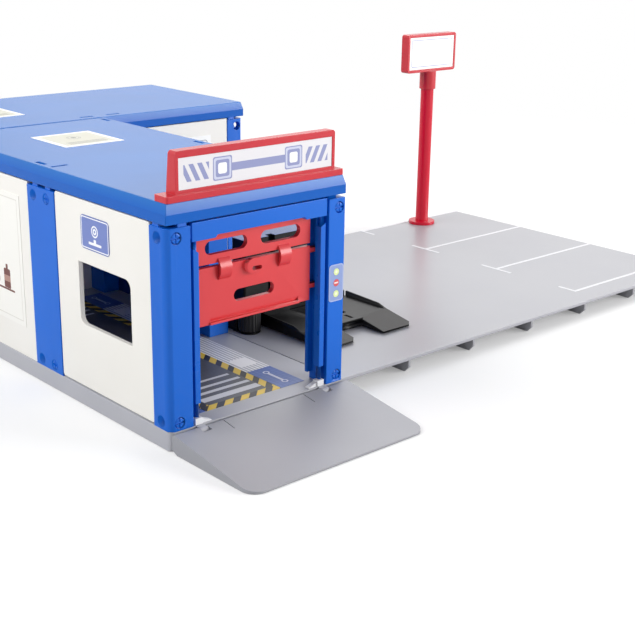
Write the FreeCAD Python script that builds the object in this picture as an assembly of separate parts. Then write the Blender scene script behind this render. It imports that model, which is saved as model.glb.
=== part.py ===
import FreeCAD, Part
import os
import math

# Toy service station, all sizes in millimetres, Z up, drawn from the front left corner of the building
# and moved at the end so that the origin is the middle of the footprint on the table.

os.makedirs("parts", exist_ok=True)
V = FreeCAD.Vector

# bays of the building
unit = 100.0
bay_gap = 1.5
pitch = unit + bay_gap
joint_1 = unit + bay_gap / 2.0
joint_2 = joint_1 + pitch
depth = 3.0 * pitch - bay_gap
wing_end = 2.0 * pitch - bay_gap
corner_cut = 2.3
seam = 0.4

# heights
deck = 8.9
post_top = 98.6
rim_low = 100.1
rim_step = 104.4
roof_top = 108.9

# base plates
skin = 2.2
wall = 1.8
rib = 1.6

# posts
leg = 12.3
pad_long = 4.6
pad_short = 3.2
hole_r = 2.75
hole_deep = 6.0
hole_from_corner = 6.7
plug_from_corner = 5.05
plug_low = 12.6
plug_high = 94.2
plug_r = 2.15
plug_deep = 3.6
slot_w = 0.9
cross_w = 0.4
right_post_x0 = 89.8
right_post_x1 = 99.6
right_plug_x = 96.1

# wall panels
panel_inset = 0.4
panel_t = 2.4
panel_top = 99.5
panel_play = 0.15
tongue = 1.8
tongue_in = 0.6
tongue_t = 1.2
tongue_play = 0.05
panel_round = 1.5
sill_gap = 0.8
label_t = 0.25

# roof plates
roof_skin = 2.0
rim_wall = 2.2
rim_lean = 1.2
recess = 1.0

# lifting door
door_mid = (leg + right_post_x0) / 2.0
leaf_front = 5.0
leaf_t = 2.4
leaf_x0 = 17.2
leaf_low = 51.3
leaf_gap = 1.4
leaf_split = 77.2
hinge_z = 103.6
door_shut_gap = 0.4
top_leaf = 31.0
peg_r = 1.5
peg_back = 29.5
groove_w = 3.8
groove_floor = 14.3
peg_end = 14.8
knuckle_r = 1.8
pin_r = 0.9
pin_play = 0.08

# front ramp
ramp_x0 = 0.3
ramp_x1 = 101.5
ramp_front = -55.0
ramp_axis_y = -2.4
ramp_axis_z = 6.9
ramp_barrel = 2.0
ramp_lip = 1.0
ramp_skin = 1.6
clip_w = 4.0
clip_x = 13.5
clip_play = 0.2

# forecourt
fore_x0 = 100.6
fore_x1 = 406.0
fore_y0 = 1.0
fore_y1 = joint_2 - bay_gap / 2.0 + 0.5
fore_skin = 2.0
rib_step = 49.3
rib_first = 148.7
rib_set_back = 0.6
line_w = 2.0
line_t = 0.15
line_x0 = 305.7
line_y0 = 16.8
line_step = 61.3
line_bar = 12.0

# car lift
lift_x0 = 120.3
lift_x1 = 184.0
track_w = 22.0
lift_tip = 33.8
lift_corner = 2.6
lift_bend = 54.0
lift_end = 86.0
lift_low = 9.6
lift_deck = 14.0
lift_wall_top = 16.6
lift_skin = 1.6
lift_side = 1.2
house_x0 = 105.0
house_x1 = 184.0
house_y0 = lift_end + 1.0
house_y1 = house_y0 + 16.0
house_top = 16.5
mast_x0 = 112.0
mast_x1 = 167.0
mast_y0 = house_y0 + 3.0
mast_y1 = house_y1 - 2.0
mast_top = 57.0
cap_side = 3.4
cap_w = 12.6
cap_deep = 7.6
cap_h = 7.2
slider_x0 = 122.0
slider_x1 = 140.0
slider_top = 26.0
slide_play = 0.2
knob_x = 110.0
knob_y = house_y0 - 4.0
knob_r = 6.0
knob_low = lift_low + 0.3
knob_top = 25.0
knob_ribs = 20
axle_r = 2.0
axle_play = 0.1
knob_play = 0.6

# pole sign
pole_x = fore_x1 - 47.4
pole_y = fore_y1 - 9.8
pole_r = 4.5
pole_foot_r = 9.3
pole_foot_h = 2.2
board_low = 118.0
board_top = 144.0
pole_socket = board_low - 6.0
board_half = 24.0

# footprint middle
mid_x = fore_x1 / 2.0
mid_y = (ramp_front + depth) / 2.0


def box(x0, x1, y0, y1, z0, z1):
    return Part.makeBox(x1 - x0, y1 - y0, z1 - z0, V(x0, y0, z0))


def prism(points, travel):
    wire = Part.makePolygon(points + [points[0]])
    return Part.Face(wire).extrude(travel)


def side_prism(outline, x0, x1):
    points = []
    for y, z in outline:
        points.append(V(x0, y, z))
    return prism(points, V(x1 - x0, 0, 0))


def front_prism(outline, y0, y1):
    points = []
    for x, z in outline:
        points.append(V(x, y0, z))
    return prism(points, V(0, y1 - y0, 0))


def tube_x(r, x0, x1, y, z):
    return Part.makeCylinder(r, x1 - x0, V(x0, y, z), V(1, 0, 0))


def tube_z(r, x, y, z0, z1):
    return Part.makeCylinder(r, z1 - z0, V(x, y, z0), V(0, 0, 1))


def round_edges(shape, axis, r):
    edges = []
    for edge in shape.Edges:
        if edge.Curve.TypeId != "Part::GeomLine":
            continue
        run = edge.Vertexes[1].Point.sub(edge.Vertexes[0].Point)
        run.normalize()
        if abs(run.dot(axis)) > 0.999:
            edges.append(edge)
    return shape.makeFillet(r, edges)


def soft_plate(x0, x1, y0, y1, z0, z1, axis, r):
    return round_edges(box(x0, x1, y0, y1, z0, z1), axis, r)


def long_hole(x0, x1, z0, z1, y0, y1):
    r = (z1 - z0) / 2.0
    body = box(x0 + r, x1 - r, y0, y1, z0, z1)
    for x in (x0 + r, x1 - r):
        body = body.fuse(Part.makeCylinder(r, y1 - y0, V(x, y0, z0 + r), V(0, 1, 0)))
    return body.removeSplitter()


def join(shapes):
    whole = shapes[0]
    for shape in shapes[1:]:
        whole = whole.fuse(shape)
    return whole.removeSplitter()


def mirrored(shape):
    return shape.mirror(V(door_mid, 0, 0), V(1, 0, 0))


def outline_z(x0, x1, y0, y1, cut, corners, z0, z1):
    points = []
    if "fl" in corners:
        points += [V(x0, y0 + cut, z0), V(x0 + cut, y0, z0)]
    else:
        points += [V(x0, y0, z0)]
    if "fr" in corners:
        points += [V(x1 - cut, y0, z0), V(x1, y0 + cut, z0)]
    else:
        points += [V(x1, y0, z0)]
    if "br" in corners:
        points += [V(x1, y1 - cut, z0), V(x1 - cut, y1, z0)]
    else:
        points += [V(x1, y1, z0)]
    if "bl" in corners:
        points += [V(x0 + cut, y1, z0), V(x0, y1 - cut, z0)]
    else:
        points += [V(x0, y1, z0)]
    return prism(points, V(0, 0, z1 - z0))


def save(name, shape):
    placed = shape.copy()
    placed.translate(V(-mid_x, -mid_y, 0))
    placed.exportStep("parts/" + name + ".step")


# Base plates: a skin on a skirt, with ribs below
def base_plate(x0, x1, y0, y1, corners):
    body = outline_z(x0, x1, y0, y1, corner_cut, corners, 0, deck)
    hollow = box(x0 + wall, x1 - wall, y0 + wall, y1 - wall, -1, deck - skin)
    for name, cx, cy in (("fl", x0, y0), ("fr", x1, y0), ("br", x1, y1), ("bl", x0, y1)):
        if name in corners:
            keep = corner_cut + wall
            hollow = hollow.cut(box(cx - keep, cx + keep, cy - keep, cy + keep, -2, deck))
    body = body.cut(hollow)
    parts = [body]
    count_x = int(round((x1 - x0) / 50.0))
    count_y = int(round((y1 - y0) / 50.0))
    for i in range(1, count_x):
        x = x0 + (x1 - x0) * i / count_x
        parts.append(box(x - rib / 2, x + rib / 2, y0 + wall, y1 - wall, 0, deck - skin))
    for i in range(1, count_y):
        y = y0 + (y1 - y0) * i / count_y
        parts.append(box(x0 + wall, x1 - wall, y - rib / 2, y + rib / 2, 0, deck - skin))
    return join(parts)


edge_out = 0.3
edge_outline = [(0.2, deck - 0.9), (0, deck - 0.9), (-edge_out, deck - 0.6), (-edge_out, deck - 0.3), (0, deck),
                (0.2, deck)]
front_plate = base_plate(0, unit, 0, joint_2 - seam / 2, ("fl",))
save("base_front", join([front_plate, side_prism(edge_outline, 26.8, unit - 26.8)]))
save("base_back", base_plate(0, wing_end, joint_2 + seam / 2, depth, ("bl", "br", "fr")))


# Wall panels, drawn with the outer face along X and turned to their side of the bay
groove_tools = []


def window_hole(u0, u1, z0, z1, r):
    hole = box(u0, u1, -1, panel_t + 1, z0, z1)
    soft = []
    for edge in hole.Edges:
        a = edge.Vertexes[0].Point
        b = edge.Vertexes[1].Point
        at_u1_top = a.x > (u0 + u1) / 2 and a.z > (z0 + z1) / 2
        at_u0_low = a.x < (u0 + u1) / 2 and a.z < (z0 + z1) / 2
        if abs(a.y - b.y) > 1 and (at_u1_top or at_u0_low):
            soft.append(edge)
    return hole.makeFillet(r, soft)


def wall_panel(x, y, length, turn, lift, window):
    run = length - 2 * panel_play
    body = box(0, run, 0, panel_t, deck + lift, panel_top)
    if lift > 0:
        body = round_edges(body, V(0, 1, 0), panel_round)
    spot = FreeCAD.Placement(V(x, y, 0), FreeCAD.Rotation(V(0, 0, 1), turn))
    spot = spot.multiply(FreeCAD.Placement(V(panel_play, panel_inset, 0), FreeCAD.Rotation()))
    for u0 in (-tongue, run):
        strip = box(u0, u0 + tongue, tongue_in, tongue_in + tongue_t, deck, panel_top - 3)
        body = body.fuse(strip)
        tool = box(u0 - tongue_play, u0 + tongue + tongue_play, tongue_in - tongue_play,
                   tongue_in + tongue_t + tongue_play, deck - 1, panel_top - 3 + tongue_play)
        tool.Placement = spot
        groove_tools.append(tool)
    if window:
        body = body.cut(window_hole(*window))
    body = body.removeSplitter()
    body.Placement = spot
    return body


bay_run = joint_1 - leg - leg
mid_run = pitch - 2 * leg
window_low = 40.8
window_high = 70.4
window_r = 4.0
window = (18.3, 60.3, window_low, window_high, window_r)
save("panel_left_window", wall_panel(0, joint_1 - leg, bay_run, -90, sill_gap, window))
save("panel_left_poster", wall_panel(0, joint_2 - leg, mid_run, -90, 0, None))
save("panel_left_rear", wall_panel(0, depth - leg, bay_run, -90, 0, window))
save("panel_right_bay", wall_panel(unit, joint_1 + leg, mid_run, 90, 0, None))
save("panel_partition", wall_panel(leg, 2 * pitch, unit - 2 * leg, 0, 0, None))
save("panel_wing_front", wall_panel(joint_1 + leg, 2 * pitch, bay_run, 0, 0, None))
save("panel_wing_end", wall_panel(wing_end, 2 * pitch + leg, unit - 2 * leg, 90, sill_gap, window))
save("panel_back_left", wall_panel(joint_1 - leg, depth, bay_run, 180, 0, None))
save("panel_back_right", wall_panel(wing_end - leg, depth, bay_run, 180, 0, None))


# Posts with bearing pads on top, side sockets and grooves for the panels
def socket(x, y, nx, ny, z):
    return Part.makeCylinder(hole_r, hole_deep + 1, V(x + nx, y + ny, z), V(-nx, -ny, 0))


def plug(x, y, nx, ny, z):
    body = Part.makeCylinder(plug_r, plug_deep, V(x - 0.2 * nx, y - 0.2 * ny, z), V(-nx, -ny, 0))
    body = body.fuse(Part.makeCylinder(hole_r, plug_deep - 2.2, V(x - 2.4 * nx, y - 2.4 * ny, z), V(-nx, -ny, 0)))
    reach = hole_r + 1
    slot = box(-reach, reach, -1.2, 1.0, -slot_w / 2, slot_w / 2)
    turn = math.degrees(math.atan2(ny, nx)) + 90
    cross = box(-cross_w / 2, cross_w / 2, -1.2, 0.7, -reach, reach)
    for tool in (slot, cross):
        tool.Placement = FreeCAD.Placement(V(x, y, z), FreeCAD.Rotation(V(0, 0, 1), turn))
        body = body.cut(tool)
    return body.removeSplitter()


plugs = []


def post(name, blocks, pads, holes, plugged):
    body = join([outline_z(*block, deck, post_top) for block in blocks])
    for x, y, along in pads:
        half_x = (pad_long if along == "x" else pad_short) / 2.0
        half_y = (pad_short if along == "x" else pad_long) / 2.0
        body = body.fuse(box(x - half_x, x + half_x, y - half_y, y + half_y, post_top, rim_low))
    for spot in holes + plugged:
        for z in (plug_low, plug_high):
            body = body.cut(socket(*spot, z))
    for spot in plugged:
        for z in (plug_low, plug_high):
            plugs.append(plug(*spot, z))
    for tool in groove_tools:
        if tool.BoundBox.intersect(body.BoundBox):
            body = body.cut(tool)
    save(name, body.removeSplitter())


near = 2.4
off = 8.7
rear_0 = joint_2 - leg
rear_1 = joint_2 + leg
wing_0 = wing_end - leg
back_0 = depth - leg
left = (-1, 0)
right = (1, 0)
front = (0, -1)
back = (0, 1)
post("post_front_left",
     [(0, leg, 0, leg, corner_cut, ("fl",))],
     [(off, near, "x"), (near, off, "y")],
     [(0, hole_from_corner) + left],
     [(plug_from_corner, 0) + front])
post("post_front_right",
     [(right_post_x0, right_post_x1, 0, leg, 0, ())],
     [(right_post_x0 + pad_long / 2, near, "x"), (right_post_x1 - near, off, "y")],
     [(right_post_x1, hole_from_corner) + right],
     [(right_plug_x, 0) + front])
post("post_mid_left",
     [(0, leg, joint_1 - leg, joint_1 + leg, 0, ())],
     [(near, joint_1 - off + 3, "y"), (near, joint_1 + off - 3, "y")],
     [(0, joint_1 + hole_from_corner) + left],
     [(0, joint_1 - plug_from_corner) + left])
post("post_mid_right",
     [(unit - leg, unit, joint_1 - leg, joint_1 + leg, 0, ())],
     [(unit - near, joint_1 - off + 3, "y"), (unit - near, joint_1 + off - 3, "y")],
     [(unit, joint_1 + hole_from_corner) + right],
     [(unit, joint_1 - plug_from_corner) + right])
post("post_rear_left",
     [(0, leg, rear_0, rear_1, 0, ())],
     [(near, joint_2 - off + 2, "y"), (near, joint_2 + off - 2, "y")],
     [(0, joint_2 + hole_from_corner) + left],
     [(0, joint_2 - plug_from_corner) + left])
post("post_inner_corner",
     [(unit - leg, unit, rear_0, rear_1, 0, ()), (unit - leg, joint_1 + leg, 2 * pitch, rear_1, 0, ())],
     [(unit - near, joint_2 - off + 2, "y"), (joint_1 + off - 2, 2 * pitch + near, "x")],
     [],
     [(joint_1 + hole_from_corner, 2 * pitch) + front])
post("post_wing_front",
     [(wing_0, wing_end, 2 * pitch, 2 * pitch + leg, corner_cut, ("fr",))],
     [(wing_end - off, 2 * pitch + near, "x"), (wing_end - near, 2 * pitch + off, "y")],
     [(wing_end - plug_from_corner, 2 * pitch) + front, (wing_end, 2 * pitch + hole_from_corner) + right],
     [])
post("post_wing_back",
     [(wing_0, wing_end, back_0, depth, corner_cut, ("br",))],
     [(wing_end - off, depth - near, "x"), (wing_end - near, depth - off, "y")],
     [(wing_end, depth - hole_from_corner) + right],
     [(wing_end - plug_from_corner, depth) + back])
post("post_back_middle",
     [(joint_1 - leg, joint_1 + leg, back_0, depth, 0, ())],
     [(joint_1 - off + 2, depth - near, "x"), (joint_1 + off - 2, depth - near, "x")],
     [(joint_1 + hole_from_corner, depth) + back],
     [(joint_1 - plug_from_corner, depth) + back])
post("post_back_left",
     [(0, leg, back_0, depth, corner_cut, ("bl",))],
     [(off, depth - near, "x"), (near, depth - off, "y")],
     [(0, depth - hole_from_corner) + left],
     [(plug_from_corner, depth) + back])
save("slotted_plugs", Part.makeCompound(plugs))


# Beams over the door and over the open side of the front bay
beam_low = 91.2
beam_rise = 1.2
beam_tab = 12.4
beam_y0 = 0.3
beam_t = 3.0
beam_top = 99.4
beam_play = 1.0


def beam(face_0, face_1):
    u0 = face_0 + beam_play
    u1 = face_1 - beam_play
    outline = [(u0, beam_low), (u0 + beam_tab, beam_low), (u0 + beam_tab + 1, beam_low + beam_rise),
               (u1 - beam_tab - 1, beam_low + beam_rise), (u1 - beam_tab, beam_low), (u1, beam_low),
               (u1, beam_top), (u0, beam_top)]
    bar = front_prism(outline, beam_y0, beam_y0 + beam_t)
    tab_y = beam_y0 + 0.8
    tabs = box(face_0, face_1, tab_y, tab_y + 1.6, beam_low + 1.4, beam_top - 1.2)
    tabs = tabs.cut(box(u0 + 1, u1 - 1, 0, leg, beam_low, beam_top))
    return bar.fuse(tabs).removeSplitter()


save("lintel_front", beam(leg, right_post_x0))
side_beam = beam(leg, joint_1 - leg)
side_beam.Placement = FreeCAD.Placement(V(right_post_x1, 0, 0), FreeCAD.Rotation(V(0, 0, 1), 90))
save("lintel_side", side_beam)


# Roof plates: a skin inside a leaning rim, with small pockets where the bays meet
def roof_plate(x0, x1, y0, y1, pockets):
    low = box(x0, x1, y0, y1, rim_low, rim_step)
    top = Part.makeLoft([
        Part.makePolygon([V(x0, y0, rim_step), V(x1, y0, rim_step), V(x1, y1, rim_step), V(x0, y1, rim_step),
                          V(x0, y0, rim_step)]),
        Part.makePolygon([V(x0 + rim_lean, y0 + rim_lean, roof_top), V(x1 - rim_lean, y0 + rim_lean, roof_top),
                          V(x1 - rim_lean, y1 - rim_lean, roof_top), V(x0 + rim_lean, y1 - rim_lean, roof_top),
                          V(x0 + rim_lean, y0 + rim_lean, roof_top)])], True, True)
    body = low.fuse(top).removeSplitter()
    body = body.cut(box(x0 + rim_wall, x1 - rim_wall, y0 + rim_wall, y1 - rim_wall, rim_low - 1,
                        roof_top - roof_skin))
    for px0, px1, py0, py1 in pockets:
        body = body.cut(box(px0, px1, py0, py1, roof_top - recess, roof_top + 1))
    return body.removeSplitter()


pocket_l = 8.4
pocket_w = 2.0
pocket_in = 3.5


def edge_pockets(x, y, inward):
    long_x0 = min(x, x + inward * pocket_w)
    long_x1 = max(x, x + inward * pocket_w)
    cross_x0 = min(x, x + inward * pocket_l)
    cross_x1 = max(x, x + inward * pocket_l)
    return [(long_x0, long_x1, y + 1.2, y + 1.2 + pocket_l),
            (cross_x0, cross_x1, y - 6.4, y - 6.4 + pocket_w)]


front_pockets = edge_pockets(pocket_in, joint_1, 1) + edge_pockets(unit - pocket_in, joint_1, -1)
front_pockets += [(unit - pocket_in - pocket_w, unit - pocket_in, joint_2 - 12, joint_2 - 12 + pocket_l)]
rear_pockets = [(unit - pocket_in - pocket_l, unit - pocket_in, joint_2 + 6, joint_2 + 6 + pocket_w),
                (joint_1 + 5, joint_1 + 5 + pocket_l, joint_2 + 6, joint_2 + 6 + pocket_w)]
save("roof_front", roof_plate(0, unit, 0, joint_2 - seam / 2, front_pockets))
save("roof_back", roof_plate(0, wing_end, joint_2 + seam / 2, depth, rear_pockets))


# Roof sign: a foot strip, a board that thins towards the top, and the face label
sign_x0 = 1.2
sign_y0 = 0.6
sign_y1 = 9.8
sign_foot_h = 2.8
sign_side = 6.2
sign_top = 129.8
sign_face = 1.4
sign_back_low = 8.2
sign_back_top = 6.2
sign_frame = 1.7
sign_recess = 0.5
sign_soft = 1.0
foot_top = roof_top + sign_foot_h
foot = box(sign_x0, unit - sign_x0, sign_y0, sign_y1, roof_top, foot_top)
foot = round_edges(foot, V(0, 0, 1), sign_soft)
board = side_prism([(sign_face, foot_top), (sign_back_low, foot_top), (sign_back_top, sign_top),
                    (sign_face, sign_top)], sign_side, unit - sign_side)
board = board.makeFillet(sign_soft + 0.6, [edge for edge in board.Edges
                                           if edge.BoundBox.ZMin > sign_top - 0.1
                                           and edge.BoundBox.XLength < 0.1])
label_box = (sign_side + sign_frame, unit - sign_side - sign_frame, foot_top + sign_frame, sign_top - 3.0)
board = board.cut(box(label_box[0], label_box[1], sign_face - 1, sign_face + sign_recess,
                      label_box[2], label_box[3]))
save("roof_sign", join([foot, board]))
save("sign_label", box(label_box[0] + 0.1, label_box[1] - 0.1, sign_face + sign_recess - label_t,
                       sign_face + sign_recess, label_box[2] + 0.1, label_box[3] - 0.1))


# Door rails: a ribbed channel below and a curved guide for the top leaf above, one on each side
axis_y = leaf_front + leaf_t / 2.0
travel = leaf_low - deck - door_shut_gap
turn_rate = (math.pi / 2) / travel
rail_x1 = 16.7
ridge_x0 = 13.9
ridge_y0 = 0.5
ridge_y1 = 4.4
ridge_low = 18.7
rail_low = 14.0
ridge_top = 88.0
web_x1 = 14.2
web_y1 = 10.2
flange_x1 = 17.0
flange_y0 = 8.4
flange_top = 70.0
guide_low = 84.0
guide_top = 106.4
guide_y0 = 3.6
guide_y1 = 41.0
guide_x1 = 16.6
pin_small = 1.0
pins_low = 12.2


def guide_line(side):
    points = []
    for i in range(13):
        angle = i * math.pi / 24
        drop = angle / turn_rate
        y = axis_y + peg_back * math.cos(angle)
        z = hinge_z - drop + peg_back * math.sin(angle)
        dy = -peg_back * math.sin(angle)
        dz = peg_back * math.cos(angle) - 1.0 / turn_rate
        size = math.hypot(dy, dz)
        points.append(V(groove_floor, y - side * dz / size, z + side * dy / size))
    return points


def guide_groove():
    half = groove_w / 2.0
    near_points = []
    far_points = []
    for a, b in zip(guide_line(1), guide_line(-1)):
        centre = (a + b) * 0.5
        near_points.append(centre + (a - centre) * half)
        far_points.append(centre + (b - centre) * half)
    one = Part.BSplineCurve()
    one.interpolate(near_points)
    two = Part.BSplineCurve()
    two.interpolate(far_points)
    ends = [Part.makeLine(near_points[0], far_points[0]), Part.makeLine(near_points[-1], far_points[-1])]
    wire = Part.Wire(Part.__sortEdges__([one.toShape(), ends[1], two.toShape(), ends[0]]))
    deep = guide_x1 - groove_floor + 1
    groove = Part.Face(wire).extrude(V(deep, 0, 0))
    for y, z in ((axis_y + peg_back, hinge_z), (axis_y, hinge_z - travel + peg_back)):
        groove = groove.fuse(tube_x(half, groove_floor, groove_floor + deep, y, z))
    return groove


def door_rail():
    web = box(leg, web_x1, ridge_y1, web_y1, rail_low, guide_low)
    flange = box(leg, flange_x1, flange_y0, web_y1, rail_low, flange_top)
    flange = flange.fuse(box(leg, guide_x1, flange_y0, web_y1, rail_low, guide_low))
    ridge_outline = [(ridge_x0, ridge_low), (rail_x1, ridge_low), (rail_x1, ridge_top - 1.8),
                     (ridge_x0, ridge_top)]
    ridge = front_prism(ridge_outline, ridge_y0, ridge_y1)
    link = box(ridge_x0, web_x1, ridge_y1 - 0.5, ridge_y1 + 0.5, ridge_low, guide_low)
    pins = [tube_z(pin_small, ridge_x0 + 1.4, ridge_y0 + 1.4, pins_low, beam_low),
            tube_z(pin_small, ridge_x0 + 0.8, ridge_y1 - 1.1, pins_low, guide_low + 1)]
    guide = box(leg, guide_x1, guide_y0, guide_y1, guide_low, guide_top)
    guide = guide.cut(box(leg - 1, guide_x1 + 1, leg + 10, guide_y1 + 1, guide_low - 1, guide_low + 8))
    half = groove_w / 2.0
    guide = guide.cut(box(groove_floor, guide_x1 + 1, axis_y - half, axis_y + half, guide_low - 1, hinge_z))
    guide = guide.cut(tube_x(half, groove_floor, guide_x1 + 1, axis_y, hinge_z))
    guide = guide.cut(guide_groove())
    return join([web, flange, ridge, link] + pins + [guide])


rail = door_rail()
save("door_rail_left", rail)
save("door_rail_right", mirrored(rail))


# Door leaves: the two front leaves run in the channel, the top leaf folds under the roof
leaf_x1 = unit - leaf_x0
leaf_back = leaf_front + leaf_t
window_z0 = leaf_split + 5.4
window_z1 = window_z0 + 6.1
window_a = 23.2
window_b = 46.2
handle_a = 38.6
handle_z0 = leaf_split - 18.0
handle_z1 = handle_z0 + 5.5
strap_a = 30.0
strap_w = 6.3
strap_front = 2.7
strap_top = leaf_split + 3.4
strap_low = leaf_split - 6.4
strap_t = 1.3
ring_half = 5.5
ring_low = leaf_split - 6.2
ring_top = leaf_split + 0.6
ring_wall = 1.3
ring_slot_half = 2.7
ring_slot_h = 1.9
ring_out = 2.2
lip_x0 = 25.3
lip_x1 = 76.0
lip_out = 0.9
lip_h = 1.0
lip_hollow = 1.3


def pegs(y, z):
    ends = [tube_x(peg_r, peg_end, leaf_x0, y, z), tube_x(peg_r, leaf_x1, 2 * door_mid - peg_end, y, z)]
    return ends


def flat_pegs(z):
    between = box(0, unit, leaf_front, leaf_back, 0, unit)
    return [peg.common(between) for peg in pegs(axis_y, z)]


def knuckles(spans, y, z):
    return [tube_x(knuckle_r, a, b, y, z) for a, b in spans]


def strap(x0):
    mid_z = (strap_top + strap_low) / 2.0
    top = V(x0, leaf_front, strap_top)
    low = V(x0, leaf_front - 0.1, strap_low)
    outer = Part.Arc(top, V(x0, strap_front, mid_z), low).toShape()
    in_top = V(x0, leaf_front, strap_top - strap_t)
    in_low = V(x0, leaf_front - 0.1, strap_low + strap_t)
    inner = Part.Arc(in_top, V(x0, strap_front + strap_t, mid_z), in_low).toShape()
    wire = Part.Wire(Part.__sortEdges__([outer, Part.makeLine(low, in_low), inner, Part.makeLine(in_top, top)]))
    return Part.Face(wire).extrude(V(strap_w, 0, 0))


spans_mid = [(20.0, 34.0), (43.0, 57.0), (66.0, 80.0)]
spans_top = [(34.3, 42.7), (57.3, 65.7)]
plate_mid = box(leaf_x0, leaf_x1, leaf_front, leaf_back, leaf_split + leaf_gap, hinge_z - knuckle_r - 0.4)
for a in (window_a, unit - window_b):
    plate_mid = plate_mid.cut(long_hole(a, a + window_b - window_a, window_z0, window_z1, 0, 10))
stems = [box(a, b, leaf_front + 0.3, leaf_back - 0.3, hinge_z - knuckle_r - 1, hinge_z) for a, b in spans_mid]
mid_parts = [plate_mid] + stems + knuckles(spans_mid, axis_y, hinge_z)
mid_parts += [tube_x(pin_r, peg_end, 2 * door_mid - peg_end, axis_y, hinge_z)]
mid_parts += [strap(strap_a), strap(unit - strap_a - strap_w)]
mid_parts += flat_pegs(hinge_z - 10.0)
save("door_leaf_middle", join(mid_parts))

plate_low = box(leaf_x0, leaf_x1, leaf_front, leaf_back, leaf_low, leaf_split)
plate_low = plate_low.cut(long_hole(handle_a, unit - handle_a, handle_z0, handle_z1, 0, 10))
scoop = side_prism([(leaf_front - 1, leaf_low + lip_h + 2.9), (leaf_front, leaf_low + lip_h + 2.4),
                    (leaf_front + lip_hollow, leaf_low + lip_h), (leaf_front - 1, leaf_low + lip_h)],
                   lip_x0, lip_x1)
lip = box(lip_x0, lip_x1, leaf_front - lip_out, leaf_front, leaf_low, leaf_low + lip_h)
ring_mid = unit / 2.0
ring = long_hole(ring_mid - ring_half, ring_mid + ring_half, ring_low, ring_top, leaf_front - ring_out,
                 leaf_front - 0.4)
ring = ring.fuse(long_hole(ring_mid - ring_half, ring_mid + ring_half, ring_low, ring_top, leaf_front - 0.6,
                           leaf_front + 0.4).common(box(0, unit, 0, leaf_back, ring_low, leaf_split)))
ring_slot_z = ring_low + ring_wall
ring_hole = long_hole(ring_mid - ring_slot_half, ring_mid + ring_slot_half, ring_slot_z,
                      ring_slot_z + ring_slot_h, 0, leaf_back + 1)
low_parts = [plate_low.cut(scoop).cut(ring_hole), lip, ring.cut(ring_hole)]
low_parts += flat_pegs(leaf_low + 6.7) + flat_pegs(leaf_split - 2.2)
save("door_leaf_lower", join(low_parts))

plate_top = box(leaf_x0, leaf_x1, axis_y + knuckle_r + 0.4, axis_y + top_leaf, hinge_z - leaf_t / 2,
                hinge_z + leaf_t / 2)
arms = [box(a, b, axis_y, axis_y + knuckle_r + 1, hinge_z - leaf_t / 2 + 0.3, hinge_z + leaf_t / 2 - 0.3)
        for a, b in spans_top]
thin = box(0, unit, 0, unit, hinge_z - leaf_t / 2, hinge_z + leaf_t / 2)
top_pegs = [peg.common(thin) for peg in pegs(axis_y + peg_back, hinge_z)]
folding = join([plate_top] + arms + knuckles(spans_top, axis_y, hinge_z) + top_pegs)
folding = folding.cut(tube_x(pin_r + pin_play, leaf_x0, leaf_x1, axis_y, hinge_z))
save("door_leaf_top", folding)


# Front ramp on two hinge pins, the ears they turn in, and the clips above them
clip_x1 = clip_x + clip_w
ear_spans = [(clip_x, clip_x1), (2 * door_mid - clip_x1, 2 * door_mid - clip_x)]
ramp_side = 1.6
ramp_corner = 7.0
ramp_back = ramp_axis_y + ramp_barrel


def ramp_plate():
    sheet = side_prism([(ramp_axis_y, deck - ramp_skin), (ramp_axis_y, deck), (ramp_front, ramp_lip),
                        (ramp_front, 0), (ramp_front + 6.0, 0)], ramp_x0, ramp_x1)
    skirt = [(ramp_back - 3.4, 0), (ramp_back - 0.2, 1.6), (ramp_back - 0.2, ramp_axis_z),
             (ramp_axis_y, ramp_axis_z), (ramp_axis_y, deck), (ramp_front, ramp_lip), (ramp_front, 0)]
    ribs = [side_prism(skirt, x, x + ramp_side) for x in (ramp_x0, ramp_x1 - ramp_side)]
    middle = (ramp_x0 + ramp_x1) / 2.0
    inner = [(ramp_axis_y, 2), (ramp_axis_y, deck - 1), (ramp_front + 4, ramp_lip), (ramp_front + 4, 0),
             (ramp_front + 40, 0)]
    for x in (middle - 20, middle + 20):
        ribs.append(side_prism(inner, x - rib / 2, x + rib / 2))
    barrel = tube_x(ramp_barrel, ramp_x0, ramp_x1, ramp_axis_y, ramp_axis_z)
    body = join([sheet, barrel] + ribs)
    trim = box(ramp_x0 - 5, ramp_x1 + 5, ramp_front - 5, ramp_front + ramp_corner, -1, 20)
    keep = soft_plate(ramp_x0, ramp_x1, ramp_front, ramp_front + 40, -2, 21, V(0, 0, 1), ramp_corner)
    body = body.cut(trim.cut(keep))
    for x0, x1 in ear_spans:
        body = body.cut(box(x0 - clip_play, x1 + clip_play, ramp_axis_y - 3.8, ramp_back + 1, -1, 20))
        body = body.fuse(tube_x(pin_r, x0 - 1, x1 + 1, ramp_axis_y, ramp_axis_z))
    for x in (26.6, unit - 26.6):
        body = body.cut(box(x - 0.25, x + 0.25, ramp_axis_y - 8.0, ramp_back + 1, ramp_axis_z - 3, deck + 1))
    return body.removeSplitter()


save("front_ramp", ramp_plate())

ears = []
for ear_x0, ear_x1 in ear_spans:
    ear = box(ear_x0, ear_x1, ramp_axis_y, 0, ramp_axis_z - ramp_barrel, deck)
    ear = ear.fuse(tube_x(ramp_barrel, ear_x0, ear_x1, ramp_axis_y, ramp_axis_z)).removeSplitter()
    ears.append(ear.cut(tube_x(pin_r + pin_play, ear_x0 - 1, ear_x1 + 1, ramp_axis_y, ramp_axis_z)))
save("ramp_ears", Part.makeCompound(ears))

clip_h = 3.0
clip_deep = 3.3
clip_tip = 5.2


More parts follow.
